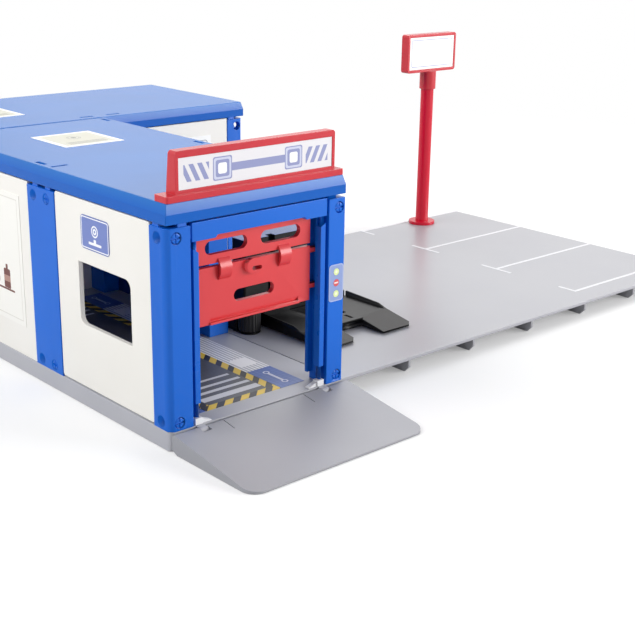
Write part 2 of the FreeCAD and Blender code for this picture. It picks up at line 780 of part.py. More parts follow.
def ramp_clip():
    block = box(clip_x, clip_x1, 0.3, 0.3 + clip_deep, deck, deck + clip_h)
    wedge = front_prism([(clip_x1, deck), (clip_x1 + clip_tip, deck), (clip_x1 + clip_tip, deck + 0.3),
                         (clip_x1, deck + 2.2)], 0.9, 0.3 + clip_deep)
    return join([block, wedge])


clip = ramp_clip()
save("ramp_clips", Part.makeCompound([clip, mirrored(clip)]))


# Forecourt: a thin plate carried by ribs, with printed parking lines
def forecourt():
    plate = box(fore_x0, fore_x1, fore_y0, fore_y1, deck - fore_skin, deck)
    parts = [plate]
    x = rib_first
    while x < fore_x1 - 3:
        rib_y0 = fore_y0 + rib_set_back
        web_line = side_prism([(rib_y0, deck - fore_skin), (rib_y0, 3.0), (fore_y0 + 3.6, 0),
                               (fore_y1 - 3.6, 0), (fore_y1 - rib_set_back, 3.0),
                               (fore_y1 - rib_set_back, deck - fore_skin)], x - rib / 2, x + rib / 2)
        parts.append(web_line)
        x = x + rib_step
    for i in range(3):
        y = 42.0 + i * 60.0
        parts.append(box(fore_x0 + 3.6, fore_x1 - 10, y - rib / 2, y + rib / 2, 2.0, deck - fore_skin))
    return join(parts)


save("forecourt", forecourt())
lines = []
for i in range(4):
    y = line_y0 + i * line_step
    lines.append(box(line_x0, fore_x1 - 0.4, y - line_w / 2, y + line_w / 2, deck, deck + line_t))
    bar_0 = y - line_w / 2 if i == 0 else y - line_bar
    bar_1 = y + line_w / 2 if i == 3 else y + line_bar
    stripe = box(line_x0, line_x0 + line_w, bar_0, bar_1, deck, deck + line_t)
    stripe = lines[-1].fuse(stripe).removeSplitter()
    lines[-1] = stripe.cut(tube_z(pole_foot_r + 0.6, pole_x, pole_y, deck - 1, deck + 1))
save("parking_lines", Part.makeCompound(lines))


# Floor sheets in the two front bays
sheet_x0 = 26.4
sheet_x1 = 70.4
tool_x1 = 85.0
side_x0 = 12.6
sheet_y0 = 10.3
tool_y1 = 36.0
sheet_y1 = 95.5
sheets = []
tools = []
grids = []
for flip in (False, True):
    spans = [(sheet_y0, sheet_y1), (sheet_y0, tool_y1), (tool_y1 + 0.2, sheet_y1)]
    if flip:
        spans = [(2 * joint_1 - b, 2 * joint_1 - a) for a, b in spans]
    sheets.append(box(sheet_x0, sheet_x1, spans[0][0], spans[0][1], deck, deck + line_t))
    for x0, x1 in ((side_x0, sheet_x0 - 0.2), (sheet_x1 + 0.2, tool_x1)):
        tools.append(box(x0, x1, spans[1][0], spans[1][1], deck, deck + line_t))
        grids.append(box(x0, x1, spans[2][0], spans[2][1], deck, deck + line_t))
save("lane_sheets", Part.makeCompound(sheets))
save("tool_sheets", Part.makeCompound(tools))
save("grid_sheets", Part.makeCompound(grids))


# Flat labels on walls, roof and door post
label_x = panel_inset - label_t
control_x0 = right_post_x0 + 0.5
control_x1 = right_post_x1 - 0.4
save("control_label", soft_plate(control_x0, control_x1, -label_t, 0, 49.6, 67.4, V(0, 1, 0), 1.6))
badge_y = (leg + joint_1 - leg) / 2 + 4.3
save("wall_label", soft_plate(label_x, panel_inset, badge_y - 11.5, badge_y + 11.5, 77.6, 93.1,
                              V(1, 0, 0), 2.2))
save("poster_label", box(label_x, panel_inset, joint_1 + leg + 9, rear_0 - 9, 24.6, 91.0))
wing_mid = (joint_1 + leg + wing_0) / 2
save("wing_label", box(wing_mid - 25.2, wing_mid + 25.2, 2 * pitch + label_x, 2 * pitch + panel_inset,
                       38.0, 90.6))
skylights = []
for y in (joint_1 + unit / 2 - 0.8, 2 * pitch + unit / 2):
    skylights.append(box(unit / 2 - 16.7, unit / 2 + 17.5, y - 17.5, y + 17.5, roof_top, roof_top + label_t))
save("roof_labels", Part.makeCompound(skylights))


# Car lift: fixed housing and mast, a carriage with two tracks, and a ribbed turning knob
house = box(house_x0, house_x1, house_y0, house_y1, deck, house_top)
house = round_edges(house, V(0, 0, 1), 2.0)
mast = box(mast_x0, mast_x1, mast_y0, mast_y1, house_top - 1, mast_top)
mast = round_edges(mast, V(0, 0, 1), 1.5)
house = house.cut(tube_z(knob_r + knob_play, knob_x, knob_y, lift_low, house_top + 1))
arm_plate = box(knob_x - knob_r, knob_x + knob_r, knob_y, house_y0 + 3, deck, lift_low)
arm_plate = arm_plate.fuse(tube_z(knob_r, knob_x, knob_y, deck, lift_low))
axle = tube_z(axle_r, knob_x, knob_y, deck, knob_top - 2)
body = join([house, mast, arm_plate, axle])
slot_x0 = (slider_x0 + slider_x1) / 2 - 2.2
slot_x1 = slot_x0 + 4.4
body = body.cut(box(slot_x0, slot_x1, mast_y0 - 0.1, mast_y0 + 3.6, lift_low - 0.3, mast_top + 1))
body = body.cut(box(slider_x0 - 0.4, slider_x1 + 0.4, house_y0 - 1, mast_y0, lift_low - 0.3, house_top + 1))
save("lift_housing", body)
cap_x1 = house_x1 - cap_side
cap_y0 = house_y0 + 1.4
save("lift_cap", soft_plate(cap_x1 - cap_w, cap_x1, cap_y0, cap_y0 + cap_deep, house_top, house_top + cap_h,
                            V(0, 0, 1), 1.5))


def track(x0, outer_left):
    x1 = x0 + track_w
    deck_plate = box(x0, x1, lift_bend, lift_end, lift_deck - lift_skin, lift_deck)
    wall_a = box(x0, x0 + lift_side, lift_bend, lift_end, lift_low, lift_deck)
    wall_b = box(x1 - lift_side, x1, lift_bend, lift_end, lift_low, lift_deck)
    edge_x = x0 if outer_left else x1 - lift_side
    edge = side_prism([(lift_bend, lift_deck - 1), (lift_bend, lift_deck), (lift_bend + 6, lift_wall_top - 0.8),
                       (lift_end, lift_wall_top), (lift_end, lift_deck - 1)], edge_x, edge_x + lift_side)
    flap = side_prism([(lift_bend, lift_deck - lift_skin), (lift_bend, lift_deck),
                       (lift_tip, lift_low + 0.9), (lift_tip, lift_low), (lift_tip + 3, lift_low)], x0, x1)
    cheek = [(lift_bend, lift_low), (lift_bend, lift_deck), (lift_tip, lift_low + 0.9), (lift_tip, lift_low)]
    cheeks = [side_prism(cheek, x, x + lift_side) for x in (x0, x1 - lift_side)]
    corner_y = lift_tip + lift_corner
    corner = prism([V(x1 - lift_corner, lift_tip - 1, 0), V(x1 + 1, lift_tip - 1, 0), V(x1 + 1, corner_y, 0),
                    V(x1, corner_y, 0), V(x1 - lift_corner, lift_tip, 0)], V(0, 0, unit))
    return [deck_plate, wall_a, wall_b, edge] + [piece.cut(corner) for piece in [flap] + cheeks]


carriage = track(lift_x0, True) + track(lift_x1 - track_w, False)
gap_x0 = lift_x0 + track_w
gap_x1 = lift_x1 - track_w
cross = box(gap_x0 - 1, gap_x1 + 1, 50.8, 63.0, lift_low, lift_deck)
cross = cross.cut(box(gap_x0, gap_x1, 50, 51.6, lift_low + 1.3, lift_low + 2.2))
cross = cross.cut(box(gap_x0, gap_x1, 50, 51.6, lift_low + 2.9, lift_low + 3.4))
for x in (gap_x0 + 3.0, gap_x1 - 5.0):
    cross = cross.cut(box(x, x + 2.0, 54.0, 60.0, lift_deck - 1.0, lift_deck + 1))
rear_bar = box(lift_x0 + 1, lift_x1 - 1, lift_end - 4.0, lift_end, lift_low, lift_deck)
slider = box(slider_x0, slider_x1, lift_end - 1, mast_y0 - slide_play, lift_low, slider_top)
tee = box(slot_x0 + slide_play, slot_x1 - slide_play, mast_y0 - 1, mast_y0 + 3.2, lift_low, slider_top)
carriage += [cross, rear_bar, slider, tee]
save("lift_carriage", join(carriage))

knob = tube_z(knob_r - 0.4, knob_x, knob_y, knob_low, knob_top)
for i in range(knob_ribs):
    angle = 360.0 * i / knob_ribs
    tooth = box(knob_x + knob_r - 1.2, knob_x + knob_r, knob_y - 0.5, knob_y + 0.5, knob_low + 0.6, knob_top - 0.8)
    tooth.rotate(V(knob_x, knob_y, 0), V(0, 0, 1), angle)
    knob = knob.fuse(tooth)
knob = knob.cut(tube_z(axle_r + axle_play, knob_x, knob_y, knob_low - 1, knob_top - 1.7))
save("lift_knob", knob.removeSplitter())


# Tall pole with a plain sign
save("pole_foot", tube_z(pole_foot_r, pole_x, pole_y, deck, deck + pole_foot_h).cut(
    tube_z(pole_r, pole_x, pole_y, deck, deck + 10)))
save("pole", tube_z(pole_r, pole_x, pole_y, deck, pole_socket))
plate_t = 6.5
pole_board = soft_plate(pole_x - board_half, pole_x + board_half, pole_y - plate_t / 2, pole_y + plate_t / 2,
                        board_low, board_top, V(0, 1, 0), 2.0)
board_hole = 2.0
for side in (-1, 1):
    face_y = pole_y + side * plate_t / 2
    cut_y0 = min(face_y - side * sign_recess, face_y + side)
    cut_y1 = max(face_y - side * sign_recess, face_y + side)
    pole_board = pole_board.cut(box(pole_x - board_half + board_hole, pole_x + board_half - board_hole,
                                    cut_y0, cut_y1, board_low + board_hole, board_top - board_hole))
socket_cup = tube_z(pole_r + 1.2, pole_x, pole_y, pole_socket - 6, board_low + 0.5)
socket_cup = socket_cup.cut(tube_z(pole_r, pole_x, pole_y, pole_socket - 7, pole_socket))
save("pole_sign", join([pole_board, socket_cup]))
faces = []
for side in (-1, 1):
    inner_y = pole_y + side * (plate_t / 2 - sign_recess)
    outer_y = inner_y + side * label_t
    faces.append(box(pole_x - board_half + board_hole + 0.1, pole_x + board_half - board_hole - 0.1,
                     min(inner_y, outer_y), max(inner_y, outer_y),
                     board_low + board_hole + 0.1, board_top - board_hole - 0.1))
save("pole_labels", Part.makeCompound(faces))
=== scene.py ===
import bmesh
import bpy
import math
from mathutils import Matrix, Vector


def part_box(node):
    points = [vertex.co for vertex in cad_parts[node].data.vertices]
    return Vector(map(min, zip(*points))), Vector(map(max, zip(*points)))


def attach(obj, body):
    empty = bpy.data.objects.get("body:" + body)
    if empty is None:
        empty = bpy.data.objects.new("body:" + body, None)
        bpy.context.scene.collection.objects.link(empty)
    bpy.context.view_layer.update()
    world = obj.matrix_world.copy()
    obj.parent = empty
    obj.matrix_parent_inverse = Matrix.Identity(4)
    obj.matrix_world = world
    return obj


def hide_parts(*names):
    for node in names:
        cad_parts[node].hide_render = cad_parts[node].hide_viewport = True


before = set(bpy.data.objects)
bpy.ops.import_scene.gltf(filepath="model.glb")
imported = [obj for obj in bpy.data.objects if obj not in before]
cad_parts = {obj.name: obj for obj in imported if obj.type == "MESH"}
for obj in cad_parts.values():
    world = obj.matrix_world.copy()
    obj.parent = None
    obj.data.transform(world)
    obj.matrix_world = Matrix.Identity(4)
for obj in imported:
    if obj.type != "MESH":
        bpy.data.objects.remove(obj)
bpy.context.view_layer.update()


# Base plates: two trays of light grey ABS, injection moulded and clipped together under the bays.
# Their skirts stand on the table. The tool was lightly sparked, so the skin is satin, not glossy.
grey_base = "#B4B5BB"
grey_base_shade = "#AEAFB6"
base_edge_mm = 0.3


def srgb(code):
    """A colour as a paint card gives it, turned to the linear levels that a shader takes."""
    levels = [int(code[i:i + 2], 16) / 255.0 for i in (1, 3, 5)]
    linear = [v / 12.92 if v <= 0.04045 else ((v + 0.055) / 1.055) ** 2.4 for v in levels]
    return (*linear, 1.0)


def add_node(tree, kind, settings=None, links=None):
    """Adds one node, sets its options and its unlinked sockets, and links the others."""
    node = tree.nodes.new(kind)
    for key, value in (settings or {}).items():
        if isinstance(key, int) or key in node.inputs:
            node.inputs[key].default_value = value
        else:
            setattr(node, key, value)
    for key, source in (links or {}).items():
        tree.links.new(source, node.inputs[key])
    return node


def moulded(name, colour, shade, roughness, ior, grain_mm, grain_deep_mm):
    """An injection moulded skin. The colour drifts a little where the melt flowed, the gloss is faintly
    cloudy, and the tool's texture breaks up the highlights."""
    flow_mm = 70.0
    cloud_mm = 15.0
    material = bpy.data.materials.new(name)
    material.use_nodes = True
    tree = material.node_tree
    tree.nodes.clear()
    place = add_node(tree, "ShaderNodeTexCoord").outputs["Object"]
    flow = add_node(tree, "ShaderNodeTexNoise", {"Scale": 1000.0 / flow_mm, "Detail": 3.0}, {"Vector": place})
    share = add_node(tree, "ShaderNodeMapRange", {"From Min": 0.35, "From Max": 0.65},
                     {"Value": flow.outputs["Fac"]})
    tint = add_node(tree, "ShaderNodeMix", {"data_type": "RGBA", 6: srgb(shade), 7: srgb(colour)},
                    {0: share.outputs[0]})
    cloud = add_node(tree, "ShaderNodeTexNoise", {"Scale": 1000.0 / cloud_mm, "Detail": 4.0},
                     {"Vector": place})
    gloss = add_node(tree, "ShaderNodeMapRange",
                     {"From Min": 0.3, "From Max": 0.7,
                      "To Min": roughness - 0.01, "To Max": roughness + 0.015},
                     {"Value": cloud.outputs["Fac"]})
    grain = add_node(tree, "ShaderNodeTexNoise", {"Scale": 1000.0 / grain_mm, "Detail": 2.0},
                     {"Vector": place})
    relief = add_node(tree, "ShaderNodeBump", {"Strength": 1.0, "Distance": grain_deep_mm / 1000.0},
                      {"Height": grain.outputs["Fac"]})
    skin = add_node(tree, "ShaderNodeBsdfPrincipled", {"IOR": ior},
                    {"Base Color": tint.outputs[2], "Roughness": gloss.outputs[0],
                     "Normal": relief.outputs[0]})
    add_node(tree, "ShaderNodeOutputMaterial", {}, {"Surface": skin.outputs[0]})
    return material


def finish_edges(node, body, material, edge_mm, shortest_mm, crease_deg=50.0):
    """The moulded part with its square corners broken, as they leave the tool. Edges shorter than
    shortest_mm, such as the steps round a small hole, stay as they are, and so do slanted cuts.
    Faces that meet at more than crease_deg are shaded apart."""
    shape = bmesh.new()
    shape.from_mesh(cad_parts[node].data)
    bmesh.ops.remove_doubles(shape, verts=shape.verts, dist=2e-6)
    bmesh.ops.dissolve_limit(shape, angle_limit=math.radians(0.5), verts=shape.verts, edges=shape.edges)
    corners = [edge for edge in shape.edges
               if edge.is_manifold and edge.calc_face_angle() > math.radians(50)
               and edge.calc_length() > shortest_mm / 1000.0]
    bmesh.ops.bevel(shape, geom=corners, offset=edge_mm / 1000.0, offset_type="OFFSET", affect="EDGES",
                    segments=2, profile=0.5, material=-1)
    for face in shape.faces:
        face.smooth = True
    mesh = bpy.data.meshes.new(node + "_moulding")
    shape.to_mesh(mesh)
    shape.free()
    mesh.set_sharp_from_angle(angle=math.radians(crease_deg))
    mesh.materials.append(material)
    piece = bpy.data.objects.new(node + "_moulding", mesh)
    bpy.context.scene.collection.objects.link(piece)
    flat = piece.modifiers.new("flat_faces", "WEIGHTED_NORMAL")
    flat.keep_sharp = True
    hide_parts(node)
    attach(piece, body)
    return piece


# satin ABS, spark-eroded tool: soft broad highlights, a fine even grain
base_abs = moulded("base_grey_abs_satin", grey_base, grey_base_shade, 0.44, 1.53, 0.5, 0.010)
finish_edges("base_front", "station", base_abs, base_edge_mm, 1.0)
finish_edges("base_back", "station", base_abs, base_edge_mm, 1.0)


# Hinge ears: two small lugs of the base's grey ABS on its front edge, each bored for one pin of the ramp.
# Their tops lie level with the bay floor.
finish_edges("ramp_ears", "station", base_abs, 0.15, 1.0)


# Front ramp: a thin wedge of the same grey ABS, which swings on two pins in the ears of the base.
# A skirt stiffens each side, and the tool's coarser texture keeps toy wheels from slipping.
grey_ramp = "#9D9EA3"
grey_ramp_shade = "#999AA0"
# sparked ABS, a little rougher than the base
ramp_abs = moulded("ramp_grey_abs_sparked", grey_ramp, grey_ramp_shade, 0.46, 1.53, 0.6, 0.014)
finish_edges("front_ramp", "ramp", ramp_abs, 0.3, 60.0)


# Hinge clips: two small white blocks with a flat tongue, pressed into the base behind the ramp's ears.
# They are acetal, which is slippery and slightly milky.
clip_white = "#EEEFF1"
clip_white_shade = "#E6E7EA"
# acetal from a smooth tool: waxy, with a soft shine
clip_acetal = moulded("clip_white_acetal_smooth", clip_white, clip_white_shade, 0.34, 1.48, 0.8, 0.003)
finish_edges("ramp_clips", "station", clip_acetal, 0.1, 0.0)


# Forecourt: one large thin plate of pale grey ABS on moulded ribs, hooked on to the base's right side.
# Its top is the smoothest face of the set, and mirrors faintly what stands on it.
grey_forecourt = "#ACACB1"
grey_forecourt_shade = "#A8A8AE"
# ABS from a stoned tool: nearly polished, hardly any grain
forecourt_abs = moulded("forecourt_grey_abs_smooth", grey_forecourt, grey_forecourt_shade,
                        0.3, 1.53, 1.2, 0.0003)
finish_edges("forecourt", "station", forecourt_abs, 0.3, 1.0)


# Parking lines: white ink, pad printed straight on to the forecourt, four lines with a cross bar each.
# The film is only microns thick, matt, and a little thin where the pad lifted.
ink_white = "#DFDFE2"
ink_thin = "#D2D2D7"


def printed(name, roughness):
    """A matt print on a smooth ground. Returns the material, its tree, and the skin's colour socket,
    which is still open."""
    material = bpy.data.materials.new(name)
    material.use_nodes = True
    tree = material.node_tree
    tree.nodes.clear()
    place = add_node(tree, "ShaderNodeTexCoord").outputs["Object"]
    tooth = add_node(tree, "ShaderNodeTexNoise", {"Scale": 1000.0 / 1.2, "Detail": 2.0}, {"Vector": place})
    gloss = add_node(tree, "ShaderNodeMapRange",
                     {"From Min": 0.3, "From Max": 0.7,
                      "To Min": roughness - 0.04, "To Max": roughness + 0.04},
                     {"Value": tooth.outputs["Fac"]})
    relief = add_node(tree, "ShaderNodeBump", {"Strength": 1.0, "Distance": 0.000004},
                      {"Height": tooth.outputs["Fac"]})
    skin = add_node(tree, "ShaderNodeBsdfPrincipled", {"IOR": 1.5},
                    {"Roughness": gloss.outputs[0], "Normal": relief.outputs[0]})
    add_node(tree, "ShaderNodeOutputMaterial", {}, {"Surface": skin.outputs[0]})
    return material, tree, skin.inputs["Base Color"]


# matt ink: dull and slightly uneven
line_print, tree, colour = printed("line_white_ink_pad_printed", 0.5)
place = add_node(tree, "ShaderNodeTexCoord").outputs["Object"]
thin = add_node(tree, "ShaderNodeTexNoise", {"Scale": 1000.0 / 3.0, "Detail": 5.0, "Roughness": 0.7},
                {"Vector": place})
cover = add_node(tree, "ShaderNodeMapRange", {"From Min": 0.3, "From Max": 0.45},
                 {"Value": thin.outputs["Fac"]})
film = add_node(tree, "ShaderNodeMix", {"data_type": "RGBA", 6: srgb(ink_thin), 7: srgb(ink_white)},
                {0: cover.outputs[0]})
tree.links.new(film.outputs[2], colour)
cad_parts["parking_lines"].material_slots[0].material = line_print


# Floor sheets: paper-thin self-adhesive prints on the bay floors, mirrored at the joint of the two bays.
# A dark lane with white bars has a black and yellow border, and beside it lie a blue mat and a pale grid.
bay_joint_mm = 100.75 - 124.0
lane_dark = "#515257"
hazard_black = "#212125"
hazard_yellow = "#E7C53F"
bar_white = "#D2D3D7"
mat_blue = "#4C69AE"
mat_line = "#627CBC"
spanner_pale = "#D5DAEA"
grid_line = "#C0C2C8"
grid_white = "#FAFAFB"


def millimetres(tree, centre, used):
    """Millimetres from a centre given in millimetres too, along the axes that used marks with 1."""
    place = add_node(tree, "ShaderNodeTexCoord").outputs["Object"]
    moved = add_node(tree, "ShaderNodeMapping", {"Location": [-c * k for c, k in zip(centre, used)],
                                                 "Scale": [1000.0 * k for k in used]}, {"Vector": place})
    return moved.outputs[0]


def patch(tree, spot, centre, half, corner):
    """1 inside a block with rounded corners and 0 outside. With corner as large as half it is a disc."""
    away = add_node(tree, "ShaderNodeVectorMath", {"operation": "SUBTRACT", 1: centre}, {0: spot})
    side = add_node(tree, "ShaderNodeVectorMath", {"operation": "ABSOLUTE"}, {0: away.outputs[0]})
    past = add_node(tree, "ShaderNodeVectorMath", {"operation": "SUBTRACT", 1: [h - corner for h in half]},
                    {0: side.outputs[0]})
    over = add_node(tree, "ShaderNodeVectorMath", {"operation": "MAXIMUM", 1: (0.0, 0.0, 0.0)},
                    {0: past.outputs[0]})
    gap = add_node(tree, "ShaderNodeVectorMath", {"operation": "LENGTH"}, {0: over.outputs[0]})
    inside = add_node(tree, "ShaderNodeMath", {"operation": "LESS_THAN", 1: corner},
                      {0: gap.outputs["Value"]})
    return inside.outputs[0]


def bars(tree, spot, run, pitch, share, shift=0.0, within=1.0):
    """1 on bars across run, one to each pitch and share of it wide. 0 between them and where within is 0."""
    along = add_node(tree, "ShaderNodeVectorMath", {"operation": "DOT_PRODUCT", 1: run}, {0: spot})
    turns = add_node(tree, "ShaderNodeMath", {"operation": "MULTIPLY_ADD", 1: 1.0 / pitch, 2: shift},
                     {0: along.outputs["Value"]})
    part = add_node(tree, "ShaderNodeMath", {"operation": "FRACT"}, {0: turns.outputs[0]})
    bar = add_node(tree, "ShaderNodeMath", {"operation": "LESS_THAN", 1: share}, {0: part.outputs[0]})
    if within == 1.0:
        return bar.outputs[0]
    both = add_node(tree, "ShaderNodeMath", {"operation": "MULTIPLY"}, {0: bar.outputs[0], 1: within})
    return both.outputs[0]


def inks(tree, colour, ground, layers):
    """Prints the layers one over another on the ground colour. Each layer is a mask and its ink."""
    under = None
    for mask, ink in layers:
        film = add_node(tree, "ShaderNodeMix", {"data_type": "RGBA", 6: srgb(ground), 7: srgb(ink)},
                        {0: mask})
        if under is not None:
            tree.links.new(under, film.inputs[6])
        under = film.outputs[2]
    tree.links.new(under, colour)


def both_bays(tree, from_x):
    """The distances from from_x and from the joint of the bays, in millimetres."""
    spot = millimetres(tree, (from_x, bay_joint_mm, 0.0), (1.0, 1.0, 0.0))
    return add_node(tree, "ShaderNodeVectorMath", {"operation": "ABSOLUTE"}, {0: spot}).outputs[0]


# vinyl film with a satin overprint: flat colours, crisp edges
low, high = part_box("lane_sheets")
lane_mid = -500.0 * (low.x + high.x)
lane_half = 500.0 * (high.x - low.x)
lane_deep = bay_joint_mm - 1000.0 * low.y
lane_film, tree, colour = printed("lane_print_on_vinyl", 0.4)
spot = both_bays(tree, 0.0)
kerb = 4.4
lane_in = lane_half - 4.9
front_kerb = patch(tree, spot, (lane_mid, lane_deep, 0.0), (lane_half, kerb, 1.0), 0.01)
layers = [(bars(tree, spot, (-1.0, 1.0, 0.0), 9.67, 0.55, 0.0), hazard_yellow),
          (front_kerb, hazard_black),
          (bars(tree, spot, (-1.0, 1.0, 0.0), 9.45, 0.52, 0.03, front_kerb), hazard_yellow),
          (patch(tree, spot, (lane_mid, 0.0, 0.0), (lane_in, lane_deep - kerb, 1.0), 0.01), lane_dark)]
for at, half_bar, short in ((80.2, 2.25, 0.3), (73.3, 1.3, 0.7), (67.1, 1.15, 1.6), (60.4, 1.0, 3.0)):
    bar = patch(tree, spot, (lane_mid, at, 0.0), (lane_in - short, half_bar, 1.0), 0.01)
    layers.append((bar, bar_white))
inks(tree, colour, hazard_black, layers)
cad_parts["lane_sheets"].material_slots[0].material = lane_film

# the blue mats on both sides of the lane: a faint square grid, with a ring spanner lying across it
mat_film, tree, colour = printed("blue_mat_print_on_vinyl", 0.4)
spot = both_bays(tree, -lane_mid)
low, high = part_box("tool_sheets")
mat_mid = 1000.0 * high.x + lane_mid - 7.2
mat_at = bay_joint_mm - 1000.0 * low.y - 12.8
layers = [(bars(tree, spot, (1.0, 0.0, 0.0), 2.6, 0.12), mat_line),
          (bars(tree, spot, (0.0, 1.0, 0.0), 2.6, 0.12), mat_line),
          (patch(tree, spot, (mat_mid, mat_at, 0.0), (0.8, 6.5, 1.0), 0.3), spanner_pale)]
for side in (-1.0, 1.0):
    for r, ink in ((2.0, spanner_pale), (1.0, mat_blue)):
        layers.append((patch(tree, spot, (mat_mid, mat_at + 7.0 * side, 0.0), (r, r, 1.0), r), ink))
inks(tree, colour, mat_blue, layers)
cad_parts["tool_sheets"].material_slots[0].material = mat_film

# the pale grid: fine grey lines on white, with one bare patch
grid_film, tree, colour = printed("pale_grid_print_on_vinyl", 0.4)
spot = both_bays(tree, -lane_mid)
inks(tree, colour, grid_line, [
    (bars(tree, spot, (1.0, 0.0, 0.0), 2.0, 0.42), grid_white),
    (patch(tree, spot, (mat_mid, 52.5, 0.0), (4.8, 5.6, 1.0), 1.5), "#F8F8F9")])
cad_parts["grid_sheets"].material_slots[0].material = grid_film


# Posts: hollow square columns of bright blue ABS, one at each corner and one over each joint.
# Each stands in the base, is grooved for the wall panels and has round sockets at its foot and head.
blue_post = "#0867D2"
blue_post_shade = "#0762CA"
post_edge_mm = 0.25
# glossy ABS: clear highlights along the broken corners
post_abs = moulded("post_blue_abs_gloss", blue_post, blue_post_shade, 0.3, 1.38, 0.9, 0.003)
finish_edges("post_front_right", "station", post_abs, post_edge_mm, 5.0)
for node in ("post_front_left", "post_mid_left", "post_mid_right", "post_rear_left", "post_inner_corner",
             "post_wing_front", "post_wing_back", "post_back_middle", "post_back_left"):
    finish_edges(node, "station", post_abs, post_edge_mm, 1.0)


# Connector pegs: short slotted plugs of the same blue ABS, pushed into the posts' sockets and turned.
# Their heads lie just inside the socket's mouth, which leaves a dark ring round each.
finish_edges("slotted_plugs", "station", post_abs, 0.15, 1.5)


# Lintels: two blue ABS bars that close the openings at the top, over the door and over the first bay.
# Each is let into the posts at its ends, and its lower edge is stepped up between them.
finish_edges("lintel_front", "station", post_abs, 0.3, 0.5)
finish_edges("lintel_side", "station", post_abs, 0.3, 0.5)


# Wall panels: thin warm white ABS plates, slid down into the posts' grooves before the roof goes on.
# Three have a window with one round and one square pair of corners.
white_panel = "#F0EEE8"
white_panel_shade = "#ECEAE3"
# semi-gloss ABS: a quiet even sheen
panel_abs = moulded("panel_warm_white_abs_satin", white_panel, white_panel_shade, 0.38, 1.53, 0.8, 0.005)
for node in ("panel_left_window", "panel_left_poster", "panel_left_rear", "panel_partition",
             "panel_wing_front", "panel_wing_end", "panel_back_left", "panel_back_right"):
    finish_edges(node, "station", panel_abs, 0.25, 0.0)


# Second bay's side wall: the same plate in blue ABS, its blue darkened further as painted shade for the dim
# inside of the bay.
# It faces the car lift on the forecourt.
# both blues are darker than the plastic itself: painted shade for the dim bay
blue_panel_with_painted_shade = "#10307C"
blue_panel_tone_with_painted_shade = "#0E2C72"
# semi-gloss ABS in blue, deepened as painted shade
blue_panel_abs_painted_shade = moulded("panel_blue_abs_satin_painted_shade", blue_panel_with_painted_shade, blue_panel_tone_with_painted_shade, 0.36, 1.53, 0.8, 0.005)
finish_edges("panel_right_bay", "station", blue_panel_abs_painted_shade, 0.25, 0.0)


# Wall badge: a violet blue sticker over the side window, with a white line inside its rounded edge.
# Its white motif is a plain wheel on a jack stand.
badge_blue = "#7182C0"
badge_rim = "#5F6FAE"
badge_white = "#F2F3F8"


def on_sheet(tree, node, used):
    """Millimetres from the middle of a flat sheet, along the axes that used marks with 1, and half of
    the sheet's sizes."""
    low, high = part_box(node)
    return millimetres(tree, (low + high) * 500.0, used), (high - low) * 500.0


# vinyl film with a satin overprint
badge_film, tree, colour = printed("badge_print_on_vinyl", 0.38)
spot, half = on_sheet(tree, "wall_label", (0.0, 1.0, 1.0))
layers = [(patch(tree, spot, (0.0, 0.0, 0.0), (1.0, half.y - 0.5, half.z - 0.5), 1.0), badge_white),
          (patch(tree, spot, (0.0, 0.0, 0.0), (1.0, half.y - 1.0, half.z - 1.0), 0.9), badge_blue),
          (patch(tree, spot, (0.0, 0.0, -4.4), (1.0, 5.2, 0.6), 0.3), badge_white),
          (patch(tree, spot, (0.0, 0.0, -3.4), (1.0, 1.0, 1.2), 0.3), badge_white)]
for r, ink in ((4.2, badge_white), (2.6, badge_blue), (1.5, badge_white), (0.6, badge_blue)):
    layers.append((patch(tree, spot, (0.0, 0.0, 1.4), (1.0, r, r), r), ink))
inks(tree, colour, badge_rim, layers)
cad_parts["wall_label"].material_slots[0].material = badge_film


# Poster: a tall off-white print on the second side panel, with a hairline frame.
# Its motif is a brown stack of tyres beside a can, on a thin ground line.
poster_paper = "#F3F2EC"
poster_line = "#DEDCD4"
poster_brown = "#6F4038"
# matt vinyl film
poster_film, tree, colour = printed("poster_print_on_vinyl", 0.42)
spot, half = on_sheet(tree, "poster_label", (0.0, 1.0, 1.0))
layers = [(patch(tree, spot, (0.0, 0.0, 0.0), (1.0, half.y - 2.4, half.z - 2.4), 0.01), poster_line),
          (patch(tree, spot, (0.0, 0.0, 0.0), (1.0, half.y - 2.9, half.z - 2.9), 0.01), poster_paper),
          (patch(tree, spot, (0.0, 0.0, -17.2), (1.0, 20.0, 0.5), 0.2), poster_brown)]
for level, aside, half_tyre in ((-13.0, 0.0, 10.0), (-5.4, 1.2, 9.6), (2.2, -0.8, 9.8)):
    tyre = (0.0, 4.0 + aside, level)
    layers.append((patch(tree, spot, tyre, (1.0, half_tyre, 3.4), 3.0), poster_brown))
    layers.append((patch(tree, spot, tyre, (1.0, half_tyre - 2.5, 0.5), 0.4), "#9A6E62"))
layers.append((patch(tree, spot, (0.0, -13.0, -11.6), (1.0, 3.2, 5.0), 0.8), poster_brown))
layers.append((patch(tree, spot, (0.0, -13.0, -11.6), (1.0, 3.2, 1.6), 0.01), "#B08A7C"))
layers.append((patch(tree, spot, (0.0, -13.0, -5.6), (1.0, 1.0, 1.4), 0.3), poster_brown))
inks(tree, colour, poster_paper, layers)
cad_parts["poster_label"].material_slots[0].material = poster_film


